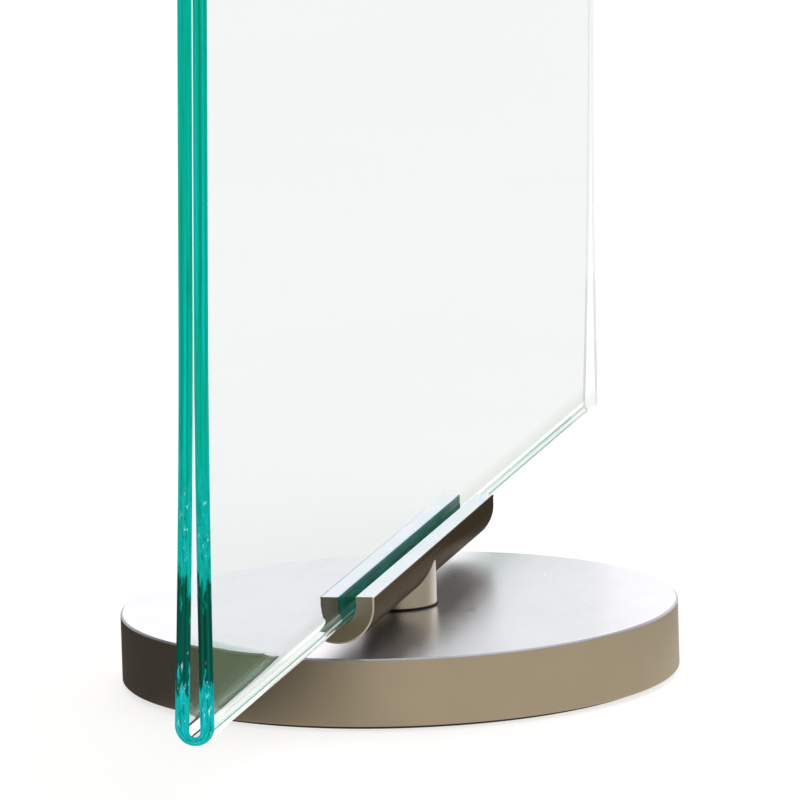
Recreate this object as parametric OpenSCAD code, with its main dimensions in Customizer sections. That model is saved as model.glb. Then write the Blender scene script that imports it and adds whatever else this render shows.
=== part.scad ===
// Swivelling table-top picture stand: one sheet of glass folded into a narrow U
// stands in a grooved bar, which turns on a short post above a heavy round base.
// +Z is up, X runs along the glass, and the origin is under the base's centre.

/* [Base] */
// Diameter of the base disc
base_d = 120; // [90:1:180]
// Thickness of the base disc
base_t = 14.7; // [12:0.1:22]
// Chamfer round the base disc's two rims
base_chamfer = 0.4; // [0.2:0.1:1]
// Thickness of the felt pad under the base
pad_t = 1; // [0.5:0.1:2]
// Distance from the base disc's rim in to the pad's edge
pad_inset = 3; // [2:0.5:8]
// Diameter of the opening in the pad under the nut
pad_hole_d = 28; // [25:1:40]

/* [Glass] */
// Width of the folded sheet
glass_w = 368; // [200:1:480]
// Height of the folded sheet, from the fold's underside to the top edge
glass_h = 246; // [160:1:360]
// Thickness of the sheet
sheet_t = 3; // [2.5:0.1:4]
// Thickness left at the bottom of the fold, where the sheet stretched
fold_t = 1.8; // [1.2:0.1:2.4]
// Inner radius of the fold
fold_ri = 1.15; // [0.8:0.05:2]
// Gap between the two leaves at the top
leaf_gap = 0.2; // [0.1:0.05:1]
// Height over which the two leaves close up above the fold
fold_blend_h = 85; // [40:1:140]
// Rounding of the sheet's top corners
glass_corner_r = 4; // [1:0.5:10]
// Lean of the sheet in its groove, in degrees
glass_lean = 1.7; // [0:0.1:3]

/* [Bar] */
// Length of the grooved bar
bar_l = 116; // [60:1:180]
// Wall of the bar round its groove
bar_wall = 3.9; // [3.6:0.1:5]
// Height of the straight jaws above the groove's round bottom
jaw_h = 2; // [1:0.1:4]
// Clear height between the base and the bar
bar_clear = 2.8; // [2:0.1:20]
// Thickness of the soft bedding between the glass and the groove
bedding_t = 0.2; // [0.1:0.05:0.5]
// How much thinner the bedding is up the jaws, to clear the leaves as they lean
bedding_lean_room = 0.05; // [0.02:0.01:0.08]
// Distance from the bar's ends and jaw tops in to the bedding
bedding_inset = 0.1; // [0.1:0.1:1]

/* [Post and swivel] */
// Difference between the bar's and the post's radius
post_step = 0.1; // [0.1:0.1:2]
// Diameter of the post's turned spigot
spigot_d = 12; // [9:0.1:13]
// Wall of the nylon bush round the spigot
bush_wall = 1.45; // [1:0.05:2]
// Thickness of the bush's flange under the post
flange_t = 0.4; // [0.3:0.1:1]
// How far the flange stands out past the post
flange_lip = 0.3; // [0.1:0.1:1]
// Thickness of the nylon thrust washer
thrust_t = 0.8; // [0.5:0.1:1.5]
// Free height of the disc spring
spring_h = 1; // [0.8:0.1:1.6]
// Thickness of the disc spring's steel
spring_t = 0.5; // [0.3:0.05:0.7]
// Thickness of the steel retaining washer
retainer_t = 1.2; // [0.8:0.1:2]
// Outer diameter of the washers under the base
washer_d = 21; // [18:0.5:23]
// Radial room round the washers in the base's recess
recess_room = 1; // [0.5:0.1:2]

/* [Fasteners] */
// Nominal diameter of the centre bolt
bolt_d = 4; // [3:0.1:4.5]
// Diameter of the bolt's countersunk head
bolt_head_d = 7.4; // [6:0.1:7.8]
// Diameter across the flats of the bolt's hexagon socket
socket_af = 2.5; // [1.5:0.5:3]
// Depth of the bolt's hexagon socket
socket_depth = 1.2; // [0.8:0.1:1.6]
// Distance from the groove's bottom down to the bolt's head
head_sink = 0.15; // [0.1:0.05:0.4]
// Diameter across the flats of the lock nut
nut_af = 7; // [6:0.1:8]
// Height of the lock nut's hexagon
nut_hex_h = 3.2; // [2:0.1:4]
// Height of the lock nut's collar
nut_collar_h = 1.8; // [1.5:0.1:2.5]
// Radial wall of the nut's nylon ring
nut_ring_wall = 0.7; // [0.5:0.05:1]
// How far the bolt's tip stands out of the nut
bolt_tip = 0.6; // [0.3:0.1:1]
// Room between the bolt's tip and the base's underside
tip_room = 1; // [0.5:0.1:3]

/* [Clearances] */
// Radial and end clearance of the running fit between spigot and bush
run_clear = 0.05; // [0.02:0.01:0.1]
// Radial clearance of the bolt in its drilled holes
hole_clear = 0.15; // [0.1:0.05:0.4]
// Radial clearance between the bolt's thread and the nut
thread_clear = 0.05; // [0.02:0.01:0.1]
// Radial clearance of the washers round the spigot
washer_clear = 0.2; // [0.1:0.05:0.5]

/* [Hidden] */
$fn = 96;
eps = 0.01;              // overshoot of a cut past the face it opens

// Radii worked out from the driving sizes
fold_ro = fold_ri + sheet_t;
slot_r = fold_ro + bedding_t;
jaw_bedding_t = bedding_t - bedding_lean_room;
bar_r = slot_r + bar_wall;
post_r = bar_r - post_step;
spigot_r = spigot_d / 2;
bush_ri = spigot_r + run_clear;
bush_ro = bush_ri + bush_wall;
flange_r = max(post_r, bush_ro) + flange_lip;
washer_r = washer_d / 2;
recess_r = washer_r + recess_room;
bolt_r = bolt_d / 2;
bolt_hole_r = bolt_r + hole_clear;
bolt_head_r = bolt_head_d / 2;
nut_bore_r = bolt_r + thread_clear;
nut_ring_r = nut_bore_r + nut_ring_wall;
nut_collar_r = nut_ring_r + 0.45;    // thin steel collar rolled over the ring
nut_ring_h = nut_collar_h - 0.5;

// Heights above the surface that the pad rests on
base_z = pad_t;
base_top_z = base_z + base_t;
flange_z = base_top_z + flange_t;
post_z = flange_z + run_clear;
bar_bottom_z = base_top_z + bar_clear;
fold_z = bar_bottom_z + bar_r;       // centre of the fold, the groove and the bar
bolt_head_z = fold_z - slot_r - head_sink;
tip_z = base_z + tip_room;
nut_z = tip_z + bolt_tip;
nut_h = nut_collar_h + nut_hex_h;
retainer_z = nut_z + nut_h;
spring_z = retainer_z + retainer_t;
thrust_z = spring_z + spring_h + run_clear;
ceiling_z = thrust_z + thrust_t;     // roof of the recess under the base

// The glass leaves: half the gap between them, at a height above the fold's centre
leaf_h = glass_h - fold_ro;
blend_h = min(fold_blend_h, leaf_h - glass_corner_r);
blend_steps = 20;
blend_power = 1.8;
fold_drop = fold_ro - fold_t - fold_ri;   // how far the inner round sits lower
function half_gap(h) =
  leaf_gap / 2 + (fold_ri - leaf_gap / 2) * pow(1 - min(h, blend_h) / blend_h, blend_power);
leaf_heights = [for (i = [0:blend_steps]) blend_h * i / blend_steps];

// A ring from height z up, between two radii
module ring(z, h, r_out, r_in) {
  translate([0, 0, z]) difference() {
    cylinder(h = h, r = r_out);
    translate([0, 0, -eps]) cylinder(h = h + 2 * eps, r = r_in);
  }
}

// Extrudes a YZ profile along X, centred on the post
module along_bar(length) {
  translate([-length / 2, 0, 0]) rotate([90, 0, 90]) linear_extrude(length) children();
}

// Area between the two curves x = grow + half_gap and its mirror image
module leaf_area(grow, low, high) {
  right = [for (h = leaf_heights) [grow + half_gap(h), h]];
  left = [for (i = [blend_steps:-1:0]) [-right[i].x, right[i].y]];
  top_x = grow + half_gap(high);
  polygon(concat([[grow + half_gap(0), low]], right, [[top_x, high], [-top_x, high]],
    left, [[-grow - half_gap(0), low]]));
}

// Cross-section of the folded sheet, with the fold's centre at the origin
module sheet_profile() {
  difference() {
    union() {
      circle(r = fold_ro);
      leaf_area(sheet_t, 0, leaf_h);
    }
    translate([0, -fold_drop]) circle(r = fold_ri);
    leaf_area(0, -fold_drop, leaf_h + eps);
  }
}

// Front outline of the sheet, with its two top corners rounded
module sheet_outline() {
  corner_x = glass_w / 2 - glass_corner_r;
  union() {
    translate([-glass_w / 2, -fold_ro - eps])
      square([glass_w, glass_h - glass_corner_r + eps]);
    translate([-corner_x, leaf_h - 2 * glass_corner_r])
      square([2 * corner_x, 2 * glass_corner_r]);
    for (side = [-1, 1])
      translate([side * corner_x, leaf_h - glass_corner_r]) circle(r = glass_corner_r);
  }
}

module glass_panel() {
  sheet_depth = 4 * fold_ro;
  color("paleturquoise", 0.45)
    translate([0, 0, fold_z]) rotate([glass_lean, 0, 0]) intersection() {
      along_bar(glass_w) sheet_profile();
      translate([0, sheet_depth / 2, 0]) rotate([90, 0, 0])
        linear_extrude(sheet_depth) sheet_outline();
    }
}

module slot_bedding() {
  color("seagreen") translate([0, 0, fold_z])
    along_bar(bar_l - 2 * bedding_inset) {
      difference() {
        circle(r = slot_r);
        circle(r = fold_ro);
        translate([-bar_r, 0]) square(2 * bar_r);
      }
      for (left = [-slot_r, slot_r - jaw_bedding_t])
        translate([left, 0]) square([jaw_bedding_t, jaw_h - bedding_inset]);
    }
}

// The centre bolt's outline, larger all round by clear for its hole
module bolt_body(clear, low_z) {
  head_r = bolt_head_r + clear;
  shank_r = bolt_r + clear;
  cone_h = head_r - shank_r;
  translate([0, 0, low_z]) cylinder(h = bolt_head_z - low_z, r = shank_r);
  translate([0, 0, bolt_head_z - cone_h]) cylinder(h = cone_h, r1 = shank_r, r2 = head_r);
}

module saddle_bar() {
  color("rosybrown") difference() {
    translate([0, 0, fold_z]) along_bar(bar_l) difference() {
      union() {
        circle(r = bar_r);
        translate([-bar_r, 0]) square([2 * bar_r, jaw_h]);
      }
      circle(r = slot_r);
      translate([-slot_r, 0]) square([2 * slot_r, bar_r + eps]);
      translate([-bar_r - eps, jaw_h]) square([2 * (bar_r + eps), bar_r]);
    }
    bolt_body(hole_clear, bar_bottom_z - eps);
    translate([0, 0, bolt_head_z - eps])
      cylinder(h = slot_r + head_sink, r = bolt_head_r + hole_clear);
  }
}

module post() {
  color("tan") difference() {
    union() {
      translate([0, 0, post_z]) cylinder(h = fold_z - post_z, r = post_r);
      translate([0, 0, spring_z]) cylinder(h = post_z - spring_z + eps, r = spigot_r);
    }
    translate([0, 0, fold_z]) along_bar(4 * post_r) circle(r = bar_r);
    translate([0, 0, spring_z - eps]) cylinder(h = fold_z - spring_z, r = bolt_hole_r);
  }
}

module centre_bolt() {
  color("silver") difference() {
    bolt_body(0, tip_z);
    translate([0, 0, bolt_head_z - socket_depth])
      cylinder(h = socket_depth + eps, d = socket_af / cos(30), $fn = 6);
  }
}

module swivel_bush() {
  color("black") union() {
    ring(ceiling_z, base_top_z - ceiling_z + eps, bush_ro, bush_ri);
    ring(base_top_z, flange_t, flange_r, bush_ri);
  }
}

module base_disc() {
  base_r = base_d / 2;
  color("darkkhaki") difference() {
    translate([0, 0, base_z]) rotate_extrude() polygon([
      [0, 0], [base_r - base_chamfer, 0], [base_r, base_chamfer],
      [base_r, base_t - base_chamfer], [base_r - base_chamfer, base_t], [0, base_t]
    ]);
    translate([0, 0, base_z - eps]) cylinder(h = ceiling_z - base_z + eps, r = recess_r);
    translate([0, 0, base_z]) cylinder(h = base_t + eps, r = bush_ro);
  }
}

module thrust_washer() {
  color("white") ring(thrust_z, thrust_t, washer_r - washer_clear, spigot_r + washer_clear);
}

module disc_spring() {
  r_in = spigot_r + washer_clear;
  rise = spring_h - spring_t;
  color("dimgray") translate([0, 0, spring_z]) rotate_extrude()
    polygon([[r_in, rise], [washer_r, 0], [washer_r, spring_t], [r_in, rise + spring_t]]);
}

module retaining_washer() {
  color("silver") ring(retainer_z, retainer_t, washer_r, bolt_hole_r);
}

module lock_nut() {
  hex_z = nut_z + nut_collar_h;
  corner_r = nut_af / 2 / cos(30);
  bevel = corner_r - nut_af / 2;
  color("silver") difference() {
    union() {
      translate([0, 0, nut_z]) cylinder(h = nut_collar_h + eps, r = nut_collar_r);
      intersection() {
        translate([0, 0, hex_z]) cylinder(h = nut_hex_h, r = corner_r, $fn = 6);
        translate([0, 0, hex_z]) cylinder(h = nut_hex_h, r1 = nut_af / 2, r2 = nut_af / 2 + nut_hex_h);
        translate([0, 0, hex_z]) cylinder(h = nut_hex_h, r1 = corner_r + nut_hex_h - bevel, r2 = nut_af / 2);
      }
    }
    translate([0, 0, nut_z - eps]) cylinder(h = nut_h + 2 * eps, r = nut_bore_r);
    translate([0, 0, nut_z - eps]) cylinder(h = nut_ring_h + eps, r = nut_ring_r);
  }
}

module nut_ring() {
  color("royalblue") ring(nut_z, nut_ring_h, nut_ring_r, nut_bore_r);
}

module base_pad() {
  color("dimgray") ring(0, pad_t, base_d / 2 - pad_inset, pad_hole_d / 2);
}

glass_panel();
slot_bedding();
saddle_bar();
post();
centre_bolt();
swivel_bush();
base_disc();
thrust_washer();
disc_spring();
retaining_washer();
lock_nut();
nut_ring();
base_pad();
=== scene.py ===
"""Looks for the swivelling glass picture stand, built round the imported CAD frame."""
import math

import bmesh
import bpy
from mathutils import Matrix, Vector


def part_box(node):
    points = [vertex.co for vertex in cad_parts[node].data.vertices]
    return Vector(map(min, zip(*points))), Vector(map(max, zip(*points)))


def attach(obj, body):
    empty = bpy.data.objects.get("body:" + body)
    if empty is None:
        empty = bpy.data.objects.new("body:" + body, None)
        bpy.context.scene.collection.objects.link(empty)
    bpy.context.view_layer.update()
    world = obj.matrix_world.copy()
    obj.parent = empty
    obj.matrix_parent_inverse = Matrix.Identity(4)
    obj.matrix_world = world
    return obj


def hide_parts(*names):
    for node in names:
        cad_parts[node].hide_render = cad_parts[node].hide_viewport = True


MM = 0.001
WHITE = (1, 1, 1, 1)

# The folded sheet, as the CAD draws it
SHEET_T = 3.0 * MM
FOLD_T = 1.8 * MM
FOLD_RI = 1.15 * MM
LEAF_GAP = 0.2 * MM
FOLD_BLEND_H = 85 * MM
BLEND_POWER = 1.8
CORNER_R = 4 * MM
GLASS_LEAN = math.radians(1.7)
BLEND_STEPS = 24
CORNER_STEPS = 10
FOLD_STEPS = 32

# The glass: its cut edges, and how it bends and mirrors light
ARRIS = 0.3 * MM
GLASS_IOR = 1.52
GLASS_TINT = (0.966, 0.962, 0.962, 1)
FACE_TINT = (0.960, 0.956, 0.956, 1)
# painted grey shade where the sheet folds
FOLD_SHADE_TINT = (0.918, 0.916, 0.906, 1)
LEAST_MIRROR = 0.015
MIRROR_FROM = 0.34
# how steeply the edge of the painted greenish haze falls along the sheet
PAINTED_HAZE_FALL = 0.257

# Light that bounces or mirrors more often than this in the glass is lost, and glows faintly instead
MOST_BOUNCES = 8.5
MOST_MIRRORINGS = 3.5

# The stage
FLOOR_SIZE = 12
FLOOR_DROP = 0.05 * MM

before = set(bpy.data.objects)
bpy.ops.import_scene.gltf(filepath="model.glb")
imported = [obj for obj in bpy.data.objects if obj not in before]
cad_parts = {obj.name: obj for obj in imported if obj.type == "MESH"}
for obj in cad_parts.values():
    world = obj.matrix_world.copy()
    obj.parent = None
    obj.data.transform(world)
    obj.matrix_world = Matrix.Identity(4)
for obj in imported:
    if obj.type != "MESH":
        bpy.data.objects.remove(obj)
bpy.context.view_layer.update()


# ---------------------------------------------------------------- camera
def add_camera():
    """A long lens, looking along the glass from its near end."""
    azimuth, elevation, roll = math.radians(-76.726), math.radians(10.313), math.radians(-1.75)
    aim = Vector((0.0003, -0.0015, 0.0603))
    distance = 3.2685
    back = Vector((math.sin(azimuth) * math.cos(elevation),
                   -math.cos(azimuth) * math.cos(elevation), math.sin(elevation)))
    right = Vector((math.cos(azimuth), math.sin(azimuth), 0))
    up = back.cross(right)
    rolled_right = math.cos(roll) * right + math.sin(roll) * up
    rolled_up = math.cos(roll) * up - math.sin(roll) * right
    camera = bpy.data.objects.new("camera", bpy.data.cameras.new("camera"))
    bpy.context.scene.collection.objects.link(camera)
    camera.data.sensor_width = 36
    camera.data.lens = 685.3
    camera.data.clip_end = 60
    turn = Matrix((rolled_right, rolled_up, back)).transposed().to_4x4()
    camera.matrix_world = Matrix.Translation(aim + distance * back) @ turn
    bpy.context.scene.camera = camera


# ---------------------------------------------------------------- materials
class Nodes:
    """A short way to build one material's node tree."""

    def __init__(self, name):
        self.material = bpy.data.materials.new(name)
        self.material.use_nodes = True
        self.tree = self.material.node_tree
        self.shader = self.tree.nodes["Principled BSDF"]
        self.output = self.tree.nodes["Material Output"]

    def new(self, kind, inputs=None, **settings):
        node = self.tree.nodes.new(kind)
        for key, value in settings.items():
            setattr(node, key, value)
        for key, value in (inputs or {}).items():
            self.put(node, key, value)
        return node

    def put(self, node, key, value):
        """Sets an input, or links it when the value is another node's output."""
        if isinstance(value, bpy.types.NodeSocket):
            self.tree.links.new(value, node.inputs[key])
        else:
            node.inputs[key].default_value = value

    def set(self, **values):
        for key, value in values.items():
            self.put(self.shader, key.replace("_", " "), value)

    def position(self, scale=(1, 1, 1)):
        where = self.new("ShaderNodeTexCoord")
        node = self.new("ShaderNodeMapping", {"Vector": where.outputs["Object"], "Scale": scale})
        return node.outputs["Vector"]

    def parts(self, vector):
        """The X, Y and Z outputs of a vector."""
        return self.new("ShaderNodeSeparateXYZ", {"Vector": vector}).outputs

    def noise(self, vector, scale, detail=4, roughness=0.55):
        node = self.new("ShaderNodeTexNoise", {
            "Vector": vector, "Scale": scale, "Detail": detail, "Roughness": roughness})
        return node.outputs["Fac"]

    def ramp(self, fac, low, high, start, end):
        node = self.new("ShaderNodeMapRange", {
            "Value": fac, "From Min": start, "From Max": end, "To Min": low, "To Max": high})
        return node.outputs["Result"]

    def colour(self, fac, stops):
        node = self.new("ShaderNodeValToRGB", {"Fac": fac})
        ramp = node.color_ramp
        while len(ramp.elements) < len(stops):
            ramp.elements.new(0.5)
        for element, (place, rgb) in zip(ramp.elements, stops):
            element.position = place
            element.color = (*rgb, 1)
        return node.outputs["Color"]

    def mix(self, fac, a, b):
        node = self.new("ShaderNodeMix", {"Factor": fac}, data_type="RGBA")
        self.put(node, 6, a)
        self.put(node, 7, b)
        return node.outputs[2]

    def maths(self, operation, *values):
        return self.new("ShaderNodeMath", dict(enumerate(values)), operation=operation).outputs[0]

    def times(self, a, b):
        return self.maths("MULTIPLY", a, b)

    def mix_shaders(self, fac, a, b):
        return self.new("ShaderNodeMixShader", {0: fac, 1: a, 2: b}).outputs[0]

    def bump(self, height, distance, strength):
        node = self.new("ShaderNodeBump", {"Height": height, "Distance": distance, "Strength": strength})
        return node.outputs["Normal"]


def specks(n, vector, pitch, size, share):
    """1 at small round specks in a share of the cells on the surface, and 0 elsewhere."""
    cells = n.new("ShaderNodeTexVoronoi", {"Vector": vector, "Scale": 1 / pitch, "Randomness": 1.0})
    near = n.ramp(cells.outputs["Distance"], 1, 0, size / pitch * 0.5, size / pitch)
    pick = n.new("ShaderNodeSeparateColor", {"Color": cells.outputs["Color"]})
    return n.times(near, n.maths("LESS_THAN", pick.outputs["Red"], share))


def satin_nickel(name, side, top, rough, edge_axis, painted_edge_tone, end=None, painted_side_shade=None, pit_share=0.25):
    """Fine-blasted nickel plate with painted light and shade: flat tops painted brighter than the sides,
    end faces and the edges across one axis painted in tones of their own, and, where given, a darker
    specular tint painted on the sides; pits and dust specks.
    """
    n = Nodes(name)
    where = n.position()
    facing = n.parts(n.new("ShaderNodeTexCoord").outputs["Normal"])
    up = n.ramp(facing["Z"], 0, 1, 0.75, 0.97)
    along = n.maths("ABSOLUTE", facing["X"])
    ended = n.ramp(along, 0, 1, 0.85, 0.98)
    across = along if edge_axis == "X" else facing["Z"]
    edge = n.times(n.ramp(across, 0, 1, 0.12, 0.3), n.ramp(across, 1, 0, 0.94, 0.995))
    clouds = n.noise(where, 45, 3)
    fine = n.noise(where, 1500, 5, 0.6)
    scuffs = n.noise(n.position((0.4, 1, 1)), 240, 4, 0.7)
    pits = specks(n, where, 8 * MM, 0.26 * MM, pit_share)
    lint = specks(n, n.position((1.1, 0.9, 1.3)), 6 * MM, 0.16 * MM, pit_share * 0.7)
    # painted light and shade: tops, end faces and edges take lit and shaded copies of the metal's colour
    plain = n.mix(up, (*side, 1), (*top, 1))
    if end:
        plain = n.mix(ended, plain, (*end, 1))
    # painted light and shade along the edges across one axis, in a tone of their own
    plain = n.mix(edge, plain, (*painted_edge_tone, 1))
    shade = n.colour(clouds, [(0.3, (0.94, 0.94, 0.94)), (0.7, (1.0, 1.0, 1.0))])
    clouded = n.new("ShaderNodeMix", {"Factor": 1.0}, data_type="RGBA", blend_type="MULTIPLY")
    n.put(clouded, 6, plain)
    n.put(clouded, 7, shade)
    pitted = n.mix(pits, clouded.outputs[2], (0.05, 0.04, 0.035, 1))
    n.set(Base_Color=n.mix(lint, pitted, (0.36, 0.35, 0.33, 1)), Metallic=1.0)
    # painted shade: the sides get a darker specular tint than the tops and edges
    if painted_side_shade:
        n.set(Specular_Tint=n.mix(n.maths("MAXIMUM", up, edge), (*painted_side_shade, 1), WHITE))
    rubbed = n.ramp(scuffs, rough + 0.02, rough - 0.02, 0.35, 0.7)
    n.set(Roughness=n.maths("ADD", n.times(up, -0.04), rubbed))
    n.set(Normal=n.bump(fine, 0.006 * MM, 0.12))
    return n.material


def plain_metal(name, tint, rough):
    """Zinc plate or spring steel: a fine grain and a mottled sheen."""
    n = Nodes(name)
    where = n.position()
    mottle = n.noise(where, 260, 4)
    fine = n.noise(where, 900, 4)
    n.set(Base_Color=n.colour(mottle, [(0.3, [c * 0.85 for c in tint]), (0.7, tint)]), Metallic=1.0)
    n.set(Roughness=n.ramp(fine, rough - 0.06, rough + 0.08, 0.3, 0.7))
    n.set(Normal=n.bump(fine, 0.02 * MM, 0.4))
    return n.material


def nylon(name, tint, rough=0.45, shine=0.5):
    """Moulded nylon with a faint fine texture."""
    n = Nodes(name)
    fine = n.noise(n.position(), 1400, 3)
    n.set(Base_Color=n.colour(fine, [(0.3, [c * 0.9 for c in tint]), (0.7, tint)]))
    n.set(Specular_IOR_Level=shine, Roughness=n.ramp(fine, rough - 0.05, rough + 0.05, 0.3, 0.7))
    n.set(Normal=n.bump(fine, 0.02 * MM, 0.4))
    return n.material


def felt(name):
    """Pressed dark felt: matted fibres and a soft nap."""
    n = Nodes(name)
    fibres = n.noise(n.position((1, 3.5, 1)), 900, 8, 0.75)
    crossed = n.noise(n.position((3.2, 1, 1)), 800, 8, 0.75)
    nap = n.maths("MAXIMUM", fibres, crossed)
    n.set(Base_Color=n.colour(nap, [(0.4, (0.012, 0.012, 0.013)), (0.75, (0.07, 0.068, 0.066))]))
    n.set(Roughness=0.95, Sheen_Weight=0.35, Sheen_Roughness=0.5, Normal=n.bump(nap, 0.25 * MM, 0.8))
    return n.material


def piped_light_bedding(name, top_z):
    """Bedding in the slot, painted with a green tone and a glow that stand in for light piped through the
    glass; mottled along the slot and bluer at its upper rim.
    """
    n = Nodes(name)
    where = n.position()
    streaks = n.noise(n.position((0.08, 1, 1)), 700, 4, 0.6)
    mottle = n.noise(n.position((0.5, 1, 1)), 420, 3)
    rim = n.ramp(n.parts(where)["Z"], 0, 1, top_z - 0.9 * MM, top_z - 0.1 * MM)
    # painted light: dark greens streaked along the slot, standing in for light piped through the glass
    deep = n.colour(streaks, [
        (0.38, (0.0, 0.085, 0.055)), (0.52, (0.001, 0.13, 0.09)), (0.68, (0.002, 0.22, 0.16))])
    deep = n.mix(n.ramp(mottle, 0, 0.5, 0.5, 0.65), deep, (0.0, 0.17, 0.12, 1))
    tone = n.mix(rim, deep, (0.001, 0.19, 0.22, 1))
    n.set(Base_Color=tone, Roughness=0.4, IOR=1.41, Specular_IOR_Level=0.1)
    # painted light: the bedding glows in the same green
    n.set(Emission_Color=tone, Emission_Strength=0.45)
    n.set(Normal=n.bump(mottle, 0.03 * MM, 0.5))
    return n.material


def clear(n, tint=GLASS_TINT, normal=None, least=LEAST_MIRROR, veil=WHITE):
    """Glass that bends light, mirrors little until light strikes it very flat, and glows for lost light."""
    bent = {} if normal is None else {"Normal": normal}
    through = n.new("ShaderNodeBsdfRefraction", {"Color": tint, "IOR": GLASS_IOR, "Roughness": 0.0, **bent})
    mirror = n.new("ShaderNodeBsdfGlossy", {"Color": veil, "Roughness": 0.0, **bent})
    fresnel = n.new("ShaderNodeFresnel", {"IOR": GLASS_IOR, **bent})
    share = n.ramp(fresnel.outputs[0], least, 1, MIRROR_FROM, 1)
    glass = n.mix_shaders(share, through.outputs[0], mirror.outputs[0])
    glow = n.new("ShaderNodeEmission", {"Color": (0.60, 0.70, 0.66, 1), "Strength": 1.0})
    path = n.new("ShaderNodeLightPath").outputs
    deep = n.maths("GREATER_THAN", path["Ray Depth"], MOST_BOUNCES)
    trapped = n.maths("GREATER_THAN", path["Glossy Depth"], MOST_MIRRORINGS)
    return n.mix_shaders(n.maths("MAXIMUM", deep, trapped), glass, glow.outputs[0])


def iron_green(n):
    """The green that iron gives the glass, deeper the further light goes through it."""
    depth = n.new("ShaderNodeVolumeAbsorption", {"Color": (0.05, 0.86, 0.78, 1), "Density": 9.0})
    n.tree.links.new(depth.outputs["Volume"], n.output.inputs["Volume"])


def glass_face(name):
    """Clear float glass: a ripple where it was folded, a greyer tint painted at the fold as shade, and a
    painted greenish haze on one corner.
    """
    n = Nodes(name)
    place = n.parts(n.position())
    height = place["Z"]
    sloped = n.maths("ADD", height, n.times(place["X"], PAINTED_HAZE_FALL))
    above_fold = n.ramp(height, 0, 1, 26.8 * MM, 28.2 * MM)
    below_slope = n.ramp(sloped, 1, 0, -4.0 * MM, -1.5 * MM)
    near_end = n.ramp(place["X"], 1, 0, -135 * MM, -95 * MM)
    # painted reflection: a greenish haze on the near corner above the fold, which mirrors more, mirrors
    # green and tints the glass green
    painted_haze = n.times(near_end, n.times(above_fold, below_slope))
    haze_mirroring = n.ramp(painted_haze, LEAST_MIRROR, 0.15, 0, 1)
    veil = n.mix(painted_haze, WHITE, (0.75, 1.0, 0.92, 1))
    # painted shade: the glass is tinted greyer at the fold
    fold_shade = n.ramp(height, 0, 1, 30.0 * MM, 27.8 * MM)
    tint = n.mix(fold_shade, n.mix(painted_haze, FACE_TINT, (0.935, 0.972, 0.955, 1)), FOLD_SHADE_TINT)
    ripple = n.noise(n.position((0.35, 1, 1)), 70, 2)
    heated = n.ramp(height, 0.10, 0.02, 30 * MM, 75 * MM)
    normal = n.bump(ripple, 0.05 * MM, heated)
    surface = clear(n, tint=tint, normal=normal, least=haze_mirroring, veil=veil)
    n.tree.links.new(surface, n.output.inputs["Surface"])
    n.tree.nodes.remove(n.shader)
    iron_green(n)
    return n.material


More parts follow.
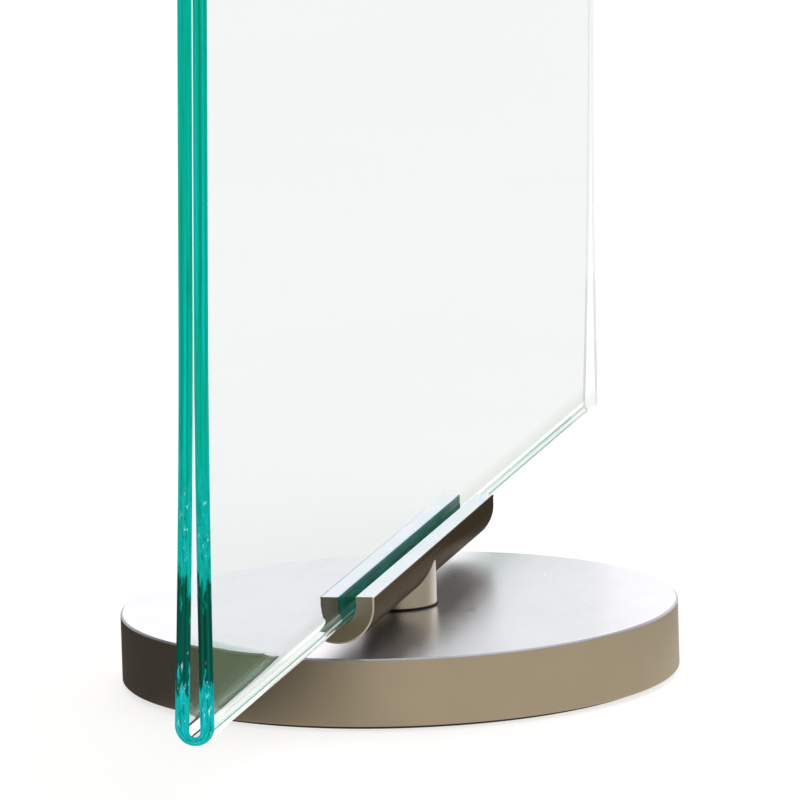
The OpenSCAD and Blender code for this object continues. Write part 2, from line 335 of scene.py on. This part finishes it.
def glass_edge(name, low_z):
    """The cut edge: the teal of the iron-green glass, with painted light standing in for light piped along
    the sheet, so it glows teal and streaked with brighter cyan bands; a painted dark band low down, dark
    flecks, and painted glints on chips.
    """
    n = Nodes(name)
    across = n.parts(n.new("ShaderNodeUVMap", uv_map="edge").outputs["UV"])
    u, v = across["X"], across["Y"]
    height = n.parts(n.position())["Z"]

    def grid(scale_u, scale_v, scale, detail, rough=0.55):
        """Noise stretched along the edge."""
        where = n.new("ShaderNodeCombineXYZ", {"X": n.times(u, scale_u), "Y": n.times(v, scale_v)})
        return n.noise(where.outputs[0], scale, detail, rough)

    long_streaks = grid(1, 0.006, 1500, 2)
    fine_streaks = grid(1, 0.02, 3200, 3)
    patches = grid(1, 0.16, 900, 4, 0.6)
    chips = grid(1, 0.32, 1300, 4, 0.62)
    scratches = grid(1.3, 0.09, 1500, 3, 0.6)
    ragged = n.maths("ADD", height, n.ramp(patches, -9 * MM, 9 * MM, 0.25, 0.75))

    def band(level, low, rise, fall, high):
        """1 from rise to fall millimetres above the fold's lowest point, fading out to low and high."""
        up = n.ramp(level, 0, 1, low_z + low * MM, low_z + rise * MM)
        return n.times(up, n.ramp(level, 1, 0, low_z + fall * MM, low_z + high * MM))

    def within(start, rise, fall, end):
        """1 between two shares of the sheet's thickness, fading at each side."""
        inward = n.ramp(u, 0, 1, start * SHEET_T, rise * SHEET_T)
        return n.times(inward, n.ramp(u, 1, 0, fall * SHEET_T, end * SHEET_T))

    # the teal of the iron-green glass, with painted streaks of light piped along the sheet
    teal = n.colour(long_streaks, [
        (0.36, (0.0, 0.25, 0.14)), (0.43, (0.0, 0.36, 0.25)),
        (0.55, (0.0, 0.39, 0.32)), (0.65, (0.0, 0.48, 0.58))])
    teal = n.mix(n.ramp(fine_streaks, 0, 0.75, 0.57, 0.66), teal, (0.0, 0.25, 0.15, 1))
    cyan = n.colour(scratches, [
        (0.35, (0.0, 0.20, 0.17)), (0.46, (0.0, 0.37, 0.39)), (0.64, (0.01, 0.50, 0.60))])
    # painted light: brighter cyan bands at the fold and higher up
    tone = n.mix(n.times(band(ragged, -12, -11, 14, 20), 0.9), teal, cyan)
    tone = n.mix(n.times(band(ragged, 30, 38, 50, 62), 0.5), tone, cyan)
    # painted shade: a dark band low down
    deep = n.colour(long_streaks, [
        (0.38, (0.0, 0.02, 0.014)), (0.5, (0.0, 0.052, 0.035)), (0.64, (0.0, 0.11, 0.075))])
    tone = n.mix(n.times(band(ragged, 12, 14, 31, 36), 0.93), tone, deep)
    flecked = n.maths("MAXIMUM", band(ragged, -5, 0, 16, 19), band(height, 37, 40, 50, 54))
    marks = n.times(within(0.1, 0.3, 0.65, 0.9), flecked)
    tone = n.mix(n.times(marks, n.ramp(chips, 0.85, 0, 0.33, 0.42)), tone, (0.0, 0.09, 0.07, 1))
    # painted glints on the lighter chips
    tone = n.mix(n.times(marks, n.ramp(chips, 0, 0.95, 0.60, 0.68)), tone, (0.50, 0.90, 0.92, 1))
    n.set(Base_Color=tone, Roughness=0.35, IOR=GLASS_IOR, Specular_IOR_Level=0.12)
    # painted light: the edge glows in its own colours
    n.set(Emission_Color=tone, Emission_Strength=0.55)
    n.set(Normal=n.bump(chips, 0.04 * MM, 0.5))
    centre = within(0.05, 0.25, 0.75, 0.95)
    # painted light: seen from inside, the edge glows pale where it does not let light through
    painted_inner_glow = n.new("ShaderNodeEmission", {
        "Color": n.mix(centre, (0.80, 0.81, 0.90, 1), (1.0, 0.98, 0.97, 1)), "Strength": 1.0})
    from_inside = n.mix_shaders(0.8, clear(n), painted_inner_glow.outputs[0])
    inside = n.new("ShaderNodeNewGeometry").outputs["Backfacing"]
    n.tree.links.new(n.mix_shaders(inside, n.shader.outputs[0], from_inside), n.output.inputs["Surface"])
    iron_green(n)
    return n.material


def paint(material, *names):
    for name in names:
        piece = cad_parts[name]
        piece.data.materials.clear()
        piece.data.materials.append(material)


# ---------------------------------------------------------------- geometry
def crisp(name, width):
    """Breaks a CAD node's sharp edges with a small bevel and smooths its round faces."""
    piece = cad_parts[name]
    piece.data.shade_smooth()
    weld = piece.modifiers.new("weld", "WELD")
    weld.merge_threshold = 0.002 * MM
    bevel = piece.modifiers.new("bevel", "BEVEL")
    bevel.width = width
    bevel.segments = 2
    bevel.limit_method = "ANGLE"
    bevel.angle_limit = math.radians(30)
    bevel.harden_normals = True


def flatten_shading(*names):
    """Lets a piece's large flat faces set the normals at their corners."""
    for name in names:
        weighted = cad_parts[name].modifiers.new("flat_faces", "WEIGHTED_NORMAL")
        weighted.mode = "FACE_AREA"
        weighted.weight = 100


def round_bar_ends(width):
    """Rounds the bar's end edges along its half-round outside."""
    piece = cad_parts["saddle_bar"]
    low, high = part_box("saddle_bar")
    group = piece.vertex_groups.new(name="end_rounds")
    middle = low.z + (high.y - low.y) / 2
    radius = (high.y - low.y) / 2
    close = 0.05 * MM

    def on_end_rim(at):
        out = math.hypot(at.y, at.z - middle) if at.z < middle else abs(at.y)
        return min(at.x - low.x, high.x - at.x) < close and out > radius - close

    group.add([v.index for v in piece.data.vertices if on_end_rim(v.co)], 1.0, "REPLACE")
    bevel = piece.modifiers.new("end_rounds", "BEVEL")
    bevel.width = width
    bevel.segments = 5
    bevel.limit_method = "VGROUP"
    bevel.vertex_group = group.name
    bevel.harden_normals = True
    piece.modifiers.move(len(piece.modifiers) - 1, 1)


def half_gap(h):
    """Half the gap between the leaves at a height above the fold's centre."""
    closing = max(0.0, 1 - h / FOLD_BLEND_H) ** BLEND_POWER
    return LEAF_GAP / 2 + (FOLD_RI - LEAF_GAP / 2) * closing


def sheet_section(leaf_h):
    """Points down one leaf, round the fold and up the other: (outer y, outer z, inner y, inner z)."""
    fold_ro = FOLD_RI + SHEET_T
    drop = fold_ro - FOLD_T - FOLD_RI
    blend = [FOLD_BLEND_H * i / BLEND_STEPS for i in range(BLEND_STEPS, 0, -1)]
    corner = [leaf_h - CORNER_R * (1 - math.cos(math.pi / 2 * (i / CORNER_STEPS)))
              for i in range(CORNER_STEPS + 1)]
    leaf = [(half_gap(h) + SHEET_T, h, half_gap(h), h) for h in corner + blend]
    fold = []
    for i in range(FOLD_STEPS + 1):
        a = math.pi * i / FOLD_STEPS
        fold.append((fold_ro * math.cos(a), -fold_ro * math.sin(a),
                     FOLD_RI * math.cos(a), -drop - FOLD_RI * math.sin(a)))
    up = [(-yo, zo, -yi, zi) for yo, zo, yi, zi in reversed(leaf)]
    return leaf + fold + up


def half_length(h, leaf_h, half_w):
    """Half the sheet's width at a height, less at the rounded top corners."""
    into = h - (leaf_h - CORNER_R)
    if into <= 0:
        return half_w
    return half_w - CORNER_R + math.sqrt(max(CORNER_R ** 2 - into ** 2, 0))


def build_glass():
    """The folded sheet as one closed mesh, with its ends and top edges on a second material."""
    low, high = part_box("glass_panel")
    half_w = (high.x - low.x) / 2
    fold_ro = FOLD_RI + SHEET_T
    fold_z = low.z + fold_ro
    top_lean = (SHEET_T + LEAF_GAP / 2) * math.sin(GLASS_LEAN)
    leaf_h = (high.z - fold_z - top_lean) / math.cos(GLASS_LEAN)
    section = sheet_section(leaf_h)
    mesh = bmesh.new()
    lean = Matrix.Translation((0, 0, fold_z)) @ Matrix.Rotation(GLASS_LEAN, 4, "X")
    rows = []
    for yo, zo, yi, zi in section:
        x = half_length(zo, leaf_h, half_w)
        rows.append([mesh.verts.new(lean @ Vector(p)) for p in
                     ((-x, yo, zo), (x, yo, zo), (x, yi, zi), (-x, yi, zi))])
    edge_faces = []
    uv = mesh.loops.layers.uv.new("edge")
    run = [0.0]
    for a, b in zip(section, section[1:]):
        run.append(run[-1] + math.hypot(b[0] - a[0], b[1] - a[1]))
    place = {}
    for row, along in zip(rows, run):
        for vert, across in zip(row, (0.0, 0.0, SHEET_T, SHEET_T)):
            place[vert] = (across, along)
    for a, b in zip(rows, rows[1:]):
        mesh.faces.new((a[0], a[1], b[1], b[0]))
        mesh.faces.new((a[2], a[3], b[3], b[2]))
        edge_faces.append(mesh.faces.new((a[3], a[0], b[0], b[3])))
        edge_faces.append(mesh.faces.new((a[1], a[2], b[2], b[1])))
    for face in edge_faces:
        for loop in face.loops:
            loop[uv].uv = place[loop.vert]
    for end in (rows[0], rows[-1]):
        top = mesh.faces.new(end)
        edge_faces.append(top)
        for loop in top.loops:
            loop[uv].uv = (place[loop.vert][0], loop.vert.co.x)
    for face in edge_faces:
        face.material_index = 1
    bmesh.ops.recalc_face_normals(mesh, faces=mesh.faces)
    data = bpy.data.meshes.new("glass_sheet")
    mesh.to_mesh(data)
    mesh.free()
    data.shade_smooth()
    piece = bpy.data.objects.new("glass_sheet", data)
    bpy.context.scene.collection.objects.link(piece)
    data.materials.append(glass_face("float_glass"))
    data.materials.append(glass_edge("glass_cut_edge_painted_glow", low.z))
    bevel = piece.modifiers.new("arris", "BEVEL")
    bevel.width = ARRIS
    bevel.segments = 2
    bevel.limit_method = "ANGLE"
    bevel.angle_limit = math.radians(50)
    bevel.harden_normals = True
    bevel.material = 1
    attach(piece, "turntable")
    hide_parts("glass_panel")


# ---------------------------------------------------------------- stage
def add_floor():
    """A pale floor, with a warm grey card on it that only the metal's soft reflections see."""
    mesh = bmesh.new()
    bmesh.ops.create_grid(mesh, x_segments=4, y_segments=4, size=FLOOR_SIZE / 2)
    data = bpy.data.meshes.new("floor")
    mesh.to_mesh(data)
    mesh.free()
    floor = bpy.data.objects.new("floor", data)
    bpy.context.scene.collection.objects.link(floor)
    floor.location.z = -FLOOR_DROP
    n = Nodes("pale_floor")
    where = n.position()
    grain = n.noise(where, 6, 2)
    place = n.parts(where)
    n.set(Base_Color=n.colour(grain, [(0.3, (0.29, 0.29, 0.29)), (0.7, (0.31, 0.31, 0.31))]), Roughness=0.9)
    n.set(Specular_IOR_Level=0.1, Emission_Color=WHITE, Emission_Strength=0.74)
    across = n.ramp(place["Y"], 0, 1, 0.055, -0.02)
    beyond = n.ramp(place["X"], 1, 0.62, 0.0, 0.12)
    card = n.new("ShaderNodeEmission", {
        "Color": n.colour(across, [(0.0, (0.06, 0.055, 0.052)), (1.0, (0.72, 0.655, 0.53))]),
        "Strength": beyond})
    path = n.new("ShaderNodeLightPath").outputs
    direct = n.maths("MAXIMUM", path["Is Camera Ray"], path["Is Singular Ray"])
    seen = n.maths("MAXIMUM", direct, path["Is Transmission Ray"])
    surface = n.mix_shaders(seen, card.outputs[0], n.shader.outputs[0])
    n.tree.links.new(surface, n.output.inputs["Surface"])
    data.materials.append(n.material)


def add_overhead(where, side, power):
    """A large square light above the object, aimed at its foot."""
    light = bpy.data.lights.new("overhead", "AREA")
    light.shape = "RECTANGLE"
    light.size = light.size_y = side
    light.energy = power
    lamp = bpy.data.objects.new("overhead", light)
    bpy.context.scene.collection.objects.link(lamp)
    lamp.location = where
    lamp.rotation_euler = (-Vector(where)).to_track_quat("-Z", "Y").to_euler()


def add_light():
    """A soft studio: a cool screen at the far end, and a warm wall, brighter on the right.

    Sharp reflections see it paler and evener, so that the glass stays clear.
    """
    world = bpy.data.worlds.new("studio")
    bpy.context.scene.world = world
    world.use_nodes = True
    tree = world.node_tree
    back = tree.nodes["Background"]
    where = tree.nodes.new("ShaderNodeTexCoord")
    split = tree.nodes.new("ShaderNodeSeparateXYZ")
    tree.links.new(where.outputs["Generated"], split.inputs[0])

    def span(socket, start, end, low, high):
        node = tree.nodes.new("ShaderNodeMapRange")
        node.interpolation_type = "SMOOTHSTEP"
        tree.links.new(socket, node.inputs["Value"])
        for key, value in (("From Min", start), ("From Max", end), ("To Min", low), ("To Max", high)):
            node.inputs[key].default_value = value
        return node.outputs["Result"]

    def tinted(fac, rgb):
        node = tree.nodes.new("ShaderNodeVectorMath")
        node.operation = "SCALE"
        node.inputs[0].default_value = rgb
        tree.links.new(fac, node.inputs["Scale"])
        return node.outputs[0]

    def plus(a, b):
        node = tree.nodes.new("ShaderNodeVectorMath")
        tree.links.new(a, node.inputs[0])
        tree.links.new(b, node.inputs[1])
        return node.outputs[0]

    wall = tinted(span(split.outputs["Y"], 0.7, -0.3, 0.32, 0.75), (1.0, 0.93, 0.82))
    screen = tinted(span(split.outputs["X"], 0.35, 0.9, 0.0, 1.15), (0.95, 0.96, 1.04))
    ceiling = tinted(span(split.outputs["Z"], 0.35, 0.9, 0.0, 0.35), (1.0, 1.0, 1.0))
    studio = plus(plus(wall, screen), ceiling)
    path = tree.nodes.new("ShaderNodeLightPath")
    soften = tree.nodes.new("ShaderNodeMath")
    soften.operation = "MULTIPLY"
    tree.links.new(path.outputs["Is Singular Ray"], soften.inputs[0])
    soften.inputs[1].default_value = 0.8
    mix = tree.nodes.new("ShaderNodeMix")
    mix.data_type = "RGBA"
    mix.blend_type = "LIGHTEN"
    tree.links.new(soften.outputs[0], mix.inputs["Factor"])
    tree.links.new(studio, mix.inputs[6])
    mix.inputs[7].default_value = (0.86, 0.88, 0.88, 1)  # the paler tone
    tree.links.new(mix.outputs[2], back.inputs["Color"])
    add_overhead((0.3, -0.5, 2.2), 2.6, 23)


add_camera()
# Painted light and shade: the bar is painted dark on its sides, pale and cool on its top, olive on its end
# faces and bright along its end edges, with a darker specular tint on its sides; the base is painted paler
# and cooler on its top than on its side, with a dark line along its rim.
paint(satin_nickel("satin_nickel_bar", (0.14, 0.122, 0.102), (0.60, 0.65, 0.69), 0.32, "X",
                   painted_edge_tone=(0.62, 0.57, 0.49), end=(0.28, 0.265, 0.20), painted_side_shade=(0.34, 0.315, 0.285),
                   pit_share=0.1), "saddle_bar")
paint(satin_nickel("satin_nickel_post", (0.54, 0.49, 0.41), (0.54, 0.49, 0.41), 0.3, "X",
                   painted_edge_tone=(0.54, 0.49, 0.41), pit_share=0.1), "post")
paint(satin_nickel("satin_nickel_base", (0.50, 0.445, 0.36), (0.56, 0.56, 0.58), 0.33, "Z",
                   painted_edge_tone=(0.26, 0.26, 0.29)), "base_disc")
paint(plain_metal("zinc_plate", (0.62, 0.63, 0.65), 0.3), "centre_bolt", "retaining_washer", "lock_nut")
paint(plain_metal("spring_steel", (0.18, 0.18, 0.2), 0.35), "disc_spring")
paint(nylon("black_nylon", (0.012, 0.012, 0.012), 0.6, 0.15), "swivel_bush")
paint(nylon("natural_nylon", (0.78, 0.76, 0.70)), "thrust_washer")
paint(nylon("blue_nylon", (0.03, 0.12, 0.45)), "nut_ring")
paint(felt("dark_felt"), "base_pad")
paint(piped_light_bedding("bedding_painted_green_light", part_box("slot_bedding")[1].z), "slot_bedding")
crisp("saddle_bar", 0.15 * MM)
round_bar_ends(1.6 * MM)
crisp("post", 0.1 * MM)
crisp("base_disc", 0.08 * MM)
crisp("base_pad", 0.25 * MM)
for small in ("centre_bolt", "retaining_washer", "lock_nut", "disc_spring", "thrust_washer",
              "swivel_bush", "nut_ring", "slot_bedding"):
    crisp(small, 0.05 * MM)
flatten_shading("base_disc", "saddle_bar", "post")
build_glass()
add_floor()
add_light()
bpy.context.scene.view_settings.view_transform = "Standard"
